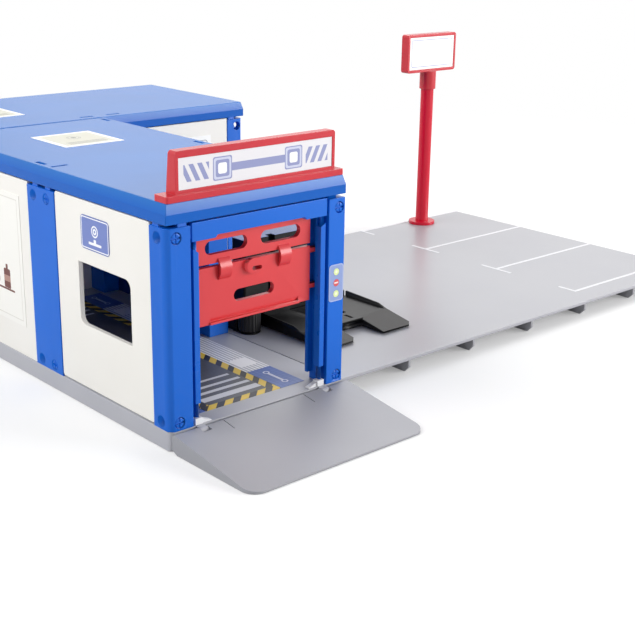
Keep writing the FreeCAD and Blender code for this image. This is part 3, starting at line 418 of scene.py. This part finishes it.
# Wing print: a large white sticker on the wing's front panel, with a grey rounded outline.
# Inside it a plain shelf holds three cans.
# matt vinyl film
wing_film, tree, colour = printed("wing_print_on_vinyl", 0.42)
spot, half = on_sheet(tree, "wing_label", (1.0, 0.0, 1.0))
layers = [(patch(tree, spot, (0.0, 0.0, 0.0), (half.x - 2.2, 1.0, half.z - 2.2), 2.2), "#A3A6AE"),
          (patch(tree, spot, (0.0, 0.0, 0.0), (half.x - 3.0, 1.0, half.z - 3.0), 1.6), "#F5F6F4"),
          (patch(tree, spot, (0.0, 0.0, -8.0), (18.0, 1.0, 0.6), 0.2), "#8C9098")]
for across, tall, ink in ((-11.0, 5.0, "#8796C4"), (0.0, 6.5, "#B9BCC4"), (11.0, 4.2, "#C06A6E")):
    layers.append((patch(tree, spot, (across, 0.0, tall - 7.4), (3.6, 1.0, tall), 0.8), ink))
inks(tree, colour, "#F7F8F6", layers)
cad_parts["wing_label"].material_slots[0].material = wing_film


# Control print: a small grey-blue sticker on the right door post, with three round buttons drawn on it.
# The outer two are pale green, and the middle one is red with a white bar.
button_step = 5.3
# vinyl film with a satin overprint
control_film, tree, colour = printed("control_print_on_vinyl", 0.36)
spot, half = on_sheet(tree, "control_label", (1.0, 0.0, 1.0))
layers = [(patch(tree, spot, (0.0, 0.0, 0.0), (half.x - 0.5, 1.0, half.z - 0.5), 1.2), "#8C9FD2")]
for level, ink in ((button_step, "#DDEBA6"), (0.0, "#DB5555"), (-button_step, "#DDEBA6")):
    layers.append((patch(tree, spot, (0.0, 0.0, level), (2.2, 1.0, 2.2), 2.2), "#6C7BAF"))
    layers.append((patch(tree, spot, (0.0, 0.0, level), (1.9, 1.0, 1.9), 1.9), ink))
layers.append((patch(tree, spot, (0.0, 0.0, 0.0), (1.2, 1.0, 0.35), 0.1), "#F6E6E4"))
for level in (button_step, -button_step):
    layers.append((patch(tree, spot, (0.0, 0.0, level), (0.7, 1.0, 0.7), 0.7), "#F3F8DC"))
inks(tree, colour, "#A9B8DD", layers)
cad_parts["control_label"].material_slots[0].material = control_film


# Door rails: two blue ABS channels behind the front posts, each with a bright guiding ridge in front.
# Above, a curved guide plate leads the top leaf's pegs under the roof.
blue_rail = "#0865D0"
blue_rail_shade = "#0760C6"
# glossy ABS, a little brighter than the posts
rail_abs = moulded("rail_blue_abs_gloss", blue_rail, blue_rail_shade, 0.28, 1.38, 0.9, 0.003)
finish_edges("door_rail_left", "station", rail_abs, 0.1, 5.0)
finish_edges("door_rail_right", "station", rail_abs, 0.1, 5.0)


# Lifting door: three coral red ABS leaves. The lower two slide as one in the rails, hooked by straps,
# and the top leaf is hinged to them on a thin rod and folds flat under the roof.
coral = "#DC3A3E"
coral_shade = "#D5353A"
# glossy ABS: bright edges where a strap or a rim turns to the light
door_abs = moulded("door_coral_abs_gloss", coral, coral_shade, 0.3, 1.53, 0.9, 0.004)
finish_edges("door_leaf_middle", "door_front", door_abs, 0.1, 1.0)
finish_edges("door_leaf_lower", "door_front", door_abs, 0.15, 3.0)
finish_edges("door_leaf_top", "door_top", door_abs, 0.15, 2.0)


# Roof plates: two blue ABS lids with a stepped rim that leans inwards, laid on the posts' pads.
# Small moulded pockets at the joints take accessories. The tool was polished, so the top mirrors.
blue_roof = "#0C6CC0"
blue_roof_shade = "#0A67B8"
# the darker blue of the lower rim is painted shade, not a second colour of the plastic
blue_rim_painted_shade = "#0B5DBA"
lean_high_mm = 4.5


def moulded_skin(material):
    """The tree of a moulded material, its shader, and the socket that its colour comes from."""
    skin = material.node_tree.nodes["Principled BSDF"]
    return material.node_tree, skin, skin.inputs["Base Color"].links[0].from_socket


# polished ABS: clear, slightly wavy reflections. Down the leaning rim and below it the blue is darkened as
# painted shade, and the reflections fade
roof_abs = moulded("roof_blue_abs_polished", blue_roof, blue_roof_shade, 0.25, 1.38, 1.4, 0.0006)
tree, skin, ground = moulded_skin(roof_abs)
low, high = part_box("roof_front")
place = add_node(tree, "ShaderNodeTexCoord").outputs["Object"]
height = add_node(tree, "ShaderNodeSeparateXYZ", {}, {0: place})
rise = add_node(tree, "ShaderNodeMapRange", {"From Min": high.z - lean_high_mm / 1000.0, "From Max": high.z},
                {"Value": height.outputs["Z"]}).outputs[0]
# mixes the painted shade in below the top of the leaning rim
rim_painted_shade = add_node(tree, "ShaderNodeMix", {"data_type": "RGBA", 6: srgb(blue_rim_painted_shade)}, {0: rise, 7: ground})
shine = add_node(tree, "ShaderNodeMapRange", {"To Min": 0.32, "To Max": 0.5}, {"Value": rise})
tree.links.new(rim_painted_shade.outputs[2], skin.inputs["Base Color"])
tree.links.new(shine.outputs[0], skin.inputs["Specular IOR Level"])
finish_edges("roof_front", "station", roof_abs, 0.3, 0.5, 12.0)
finish_edges("roof_back", "station", roof_abs, 0.3, 0.5, 12.0)


# Roof prints: a square sticker in the middle of each roof plate, beige with a broad white margin.
# Each shows a plain roof ventilator: a round hood over a row of slats.
# vinyl film with a satin overprint
roof_film, tree, colour = printed("roof_print_on_vinyl", 0.4)
low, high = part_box("roof_labels")
half_x = (high.x - low.x) * 500.0
half_y = 17.5
first = (low.x * 1000.0 + half_x, low.y * 1000.0 + half_y, 0.0)
apart = (high.y - low.y) * 1000.0 - 2 * half_y
split = add_node(tree, "ShaderNodeSeparateXYZ", {}, {0: millimetres(tree, first, (1.0, 1.0, 0.0))})
folded = add_node(tree, "ShaderNodeMath", {"operation": "WRAP", 1: apart / 2.0, 2: -apart / 2.0},
                  {0: split.outputs["Y"]})
spot = add_node(tree, "ShaderNodeCombineXYZ", {},
                {"X": split.outputs["X"], "Y": folded.outputs[0]}).outputs[0]
slats = patch(tree, spot, (0.0, -9.6, 0.0), (11.0, 3.0, 1.0), 0.3)
layers = [(patch(tree, spot, (0.0, 0.0, 0.0), (half_x - 2.6, half_y - 2.6, 1.0), 0.8), "#C8C6B6"),
          (bars(tree, spot, (0.0, 1.0, 0.0), 2.0, 0.4, 0.0, slats), "#6B6C66")]
for r, ink in ((7.8, "#71726C"), (7.0, "#BFBDAE"), (5.0, "#71726C"), (4.3, "#CFCDBE"), (1.7, "#71726C")):
    layers.append((patch(tree, spot, (0.0, 3.8, 0.0), (r, r, 1.0), r), ink))
inks(tree, colour, "#F5F5F4", layers)
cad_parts["roof_labels"].material_slots[0].material = roof_film


# Roof sign: a red ABS board on a foot strip, clipped to the front of the roof, polished all over.
# Its face is let in half a millimetre for a long white sticker.
red_sign = "#CC2935"
red_sign_shade = "#C42431"
# polished ABS: sharp highlights along the rounded frame
sign_abs = moulded("sign_red_abs_polished", red_sign, red_sign_shade, 0.2, 1.53, 1.2, 0.002)
finish_edges("roof_sign", "station", sign_abs, 0.15, 0.0)

# the sticker carries no words: a ring spanner between slanted bars, in a faded violet blue
violet = "#8D93BE"
sign_film, tree, colour = printed("sign_print_on_vinyl", 0.34)
spot = on_sheet(tree, "sign_label", (1.0, 0.0, 1.0))[0]
layers = [(patch(tree, spot, (0.0, 0.0, 0.0), (17.0, 1.0, 1.7), 0.6), violet)]
for side in (-1.0, 1.0):
    group = patch(tree, spot, (33.0 * side, 0.0, 0.0), (6.5, 1.0, 3.6), 0.01)
    layers.append((bars(tree, spot, (1.0, 0.0, -0.5 * side), 4.4, 0.55, 0.0, group), violet))
    for r, ink in ((5.0, violet), (4.5, "#C9CDE2"), (3.6, violet), (2.3, "#F8F8F8")):
        layers.append((patch(tree, spot, (19.5 * side, 0.0, 0.0), (r, 1.0, r), 1.0), ink))
inks(tree, colour, "#E4E2E5", layers)
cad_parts["sign_label"].material_slots[0].material = sign_film


# Car lift: a black nylon housing with a mast, screwed to the forecourt. A carriage with two sloping tracks
# slides up and down on the mast, and a blue cap sits on the housing's other end.
black_lift = "#08080A"
black_lift_shade = "#060608"
slat_blue = "#7484AE"
slat_joint = "#3D4A6E"
# glass-filled nylon: near black, satin, with a faint grain
lift_nylon = moulded("lift_black_nylon_satin", black_lift, black_lift_shade, 0.42, 1.32, 0.7, 0.008)
# the same nylon, but the mast's flat top is coloured as grey blue slats with darker joints, far lighter than
# the black nylon round it
slatted_nylon = lift_nylon.copy()
slatted_nylon.name = "lift_black_nylon_with_slatted_top"
tree, skin, ground = moulded_skin(slatted_nylon)
low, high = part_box("lift_housing")
spot = millimetres(tree, (0.0, 0.0, high.z * 1000.0), (0.0, 1.0, 1.0))
plate = patch(tree, spot, (0.0, 0.0, 0.0), (1.0, 400.0, 0.2), 0.01)
slats = bars(tree, spot, (0.0, 1.0, 0.0), 1.8, 0.75, 0.0, plate)
joint = add_node(tree, "ShaderNodeMix", {"data_type": "RGBA", 7: srgb(slat_joint)}, {0: plate, 6: ground})
slatted = add_node(tree, "ShaderNodeMix", {"data_type": "RGBA", 7: srgb(slat_blue)},
                   {0: slats, 6: joint.outputs[2]})
tree.links.new(slatted.outputs[2], skin.inputs["Base Color"])
finish_edges("lift_housing", "station", slatted_nylon, 0.15, 0.0)
finish_edges("lift_carriage", "lift", lift_nylon, 0.25, 40.0)
# the cap is of the posts' glossy ABS
cap_abs = moulded("lift_cap_blue_abs_gloss", blue_post, blue_post_shade, 0.3, 1.53, 0.9, 0.004)
finish_edges("lift_cap", "station", cap_abs, 0.25, 0.0)


# Lift knob: a black grip with twenty ribs, pushed over the housing's axle. Turning it drives the tracks.
# It is a softer plastic than the lift, so it looks dull beside it.
black_knob = "#121214"
black_knob_shade = "#0E0E10"
# thermoplastic rubber: matt and soft in the highlights
knob_rubber = moulded("knob_black_rubber_matt", black_knob, black_knob_shade, 0.5, 1.5, 0.6, 0.010)
finish_edges("lift_knob", "lift_knob", knob_rubber, 0.15, 0.5)


# Pole with its round foot: red ABS tube, pressed into the foot, which stands on the forecourt.
# A plain framed sign with a socket cup is pushed on its top end.
red_pole = "#D00A2E"
red_pole_shade = "#C7082B"
# glossy ABS: one narrow highlight down the tube
pole_abs = moulded("pole_red_abs_gloss", red_pole, red_pole_shade, 0.22, 1.46, 1.2, 0.002)
finish_edges("pole_foot", "station", pole_abs, 0.25, 0.0)
finish_edges("pole", "station", pole_abs, 0.25, 0.0)
finish_edges("pole_sign", "station", sign_abs, 0.25, 0.0)

# its faces are bare white stickers with a thin blue line round them
face_white = "#F9F9F8"
face_film, tree, colour = printed("pole_face_print_on_vinyl", 0.34)
spot, half = on_sheet(tree, "pole_labels", (1.0, 0.0, 1.0))
inks(tree, colour, face_white, [
    (patch(tree, spot, (0.0, 0.0, 0.0), (half.x - 1.6, 1.0, half.z - 1.6), 1.4), violet),
    (patch(tree, spot, (0.0, 0.0, 0.0), (half.x - 2.1, 1.0, half.z - 2.1), 1.0), face_white)])
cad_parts["pole_labels"].material_slots[0].material = face_film


# The studio: a white sweep under and behind the object. It isn't part of it.
# The camera sees it as white paper, while other rays meet the grey that real paper has.
sweep = bmesh.new()
bmesh.ops.create_grid(sweep, x_segments=2, y_segments=2, size=6.0)
bmesh.ops.translate(sweep, verts=sweep.verts, vec=(0.0, 0.0, -0.0002))
sweep_mesh = bpy.data.meshes.new("sweep")
sweep.to_mesh(sweep_mesh)
sweep.free()
floor = bpy.data.objects.new("sweep", sweep_mesh)
bpy.context.scene.collection.objects.link(floor)
paper = bpy.data.materials.new("sweep_white_paper")
paper.use_nodes = True
tree = paper.node_tree
tree.nodes.clear()
rays = add_node(tree, "ShaderNodeLightPath")
place = add_node(tree, "ShaderNodeTexCoord").outputs["Object"]
fibre = add_node(tree, "ShaderNodeTexNoise", {"Scale": 600.0, "Detail": 3.0}, {"Vector": place})
relief = add_node(tree, "ShaderNodeBump", {"Strength": 0.2, "Distance": 0.0001},
                  {"Height": fibre.outputs["Fac"]})
white = add_node(tree, "ShaderNodeMix", {"data_type": "RGBA", 6: srgb("#DADADC"), 7: srgb("#FFFFFF")},
                 {0: rays.outputs["Is Camera Ray"]})
skin = add_node(tree, "ShaderNodeBsdfDiffuse", {"Roughness": 0.4},
                {"Color": white.outputs[2], "Normal": relief.outputs[0]})
away = add_node(tree, "ShaderNodeVectorMath", {"operation": "LENGTH"}, {0: place})
far = add_node(tree, "ShaderNodeMapRange", {"From Min": 0.35, "From Max": 0.75, "To Min": 0.25},
               {"Value": away.outputs["Value"]})
bright = add_node(tree, "ShaderNodeMath", {"operation": "MULTIPLY"},
                  {0: far.outputs[0], 1: rays.outputs["Is Camera Ray"]})
glow = add_node(tree, "ShaderNodeEmission", {"Color": srgb("#FFFFFF"), "Strength": 1.0})
joined = add_node(tree, "ShaderNodeMixShader", {},
                  {0: bright.outputs[0], 1: skin.outputs[0], 2: glow.outputs[0]})
add_node(tree, "ShaderNodeOutputMaterial", {}, {"Surface": joined.outputs[0]})
sweep_mesh.materials.append(paper)

world = bpy.data.worlds.new("white_room")
bpy.context.scene.world = world
world.use_nodes = True
tree = world.node_tree
tree.nodes.clear()
room_level = 0.38
rays = add_node(tree, "ShaderNodeLightPath")
seen = add_node(tree, "ShaderNodeMath", {"operation": "MAXIMUM"},
                {0: rays.outputs["Is Camera Ray"], 1: rays.outputs["Is Glossy Ray"]})
clear = add_node(tree, "ShaderNodeMath", {"operation": "MAXIMUM"},
                 {0: seen.outputs[0], 1: rays.outputs["Is Transmission Ray"]})
level = add_node(tree, "ShaderNodeMapRange", {"To Min": room_level, "To Max": 1.0},
                 {"Value": clear.outputs[0]})
room = add_node(tree, "ShaderNodeBackground", {"Color": srgb("#FFFFFF")}, {"Strength": level.outputs[0]})
add_node(tree, "ShaderNodeOutputWorld", {}, {"Surface": room.outputs[0]})


def softbox(name, place, wide, tall, watts):
    """A soft area lamp that looks at the middle of the object."""
    lamp = bpy.data.lights.new(name, "AREA")
    lamp.shape = "RECTANGLE"
    lamp.size = wide
    lamp.size_y = tall
    lamp.energy = watts
    holder = bpy.data.objects.new(name, lamp)
    bpy.context.scene.collection.objects.link(holder)
    holder.location = place
    aim = Vector((0.0, 0.0, 0.05)) - Vector(place)
    holder.rotation_euler = aim.to_track_quat("-Z", "Y").to_euler()


softbox("left", (-1.5, 0.45, 1.2), 1.4, 1.2, 27.0)
softbox("back_top", (0.9, 0.9, 1.3), 1.4, 1.4, 16.0)
softbox("front_right", (1.25, -1.35, 0.5), 1.3, 0.9, 33.0)

# the camera stands where the photograph's did, left of the front and a little above the roof
lens = bpy.data.cameras.new("photo_view")
lens.sensor_width = 36.0
lens.lens = 68.418
lens.shift_y = -0.00315
camera = bpy.data.objects.new("photo_view", lens)
bpy.context.scene.collection.objects.link(camera)
camera.location = (-0.4750, -0.5162, 0.2204)
camera.rotation_euler = [math.radians(turn) for turn in (71.855, -0.8906, -41.9013)]
bpy.context.scene.camera = camera
bpy.context.scene.view_settings.view_transform = "Standard"
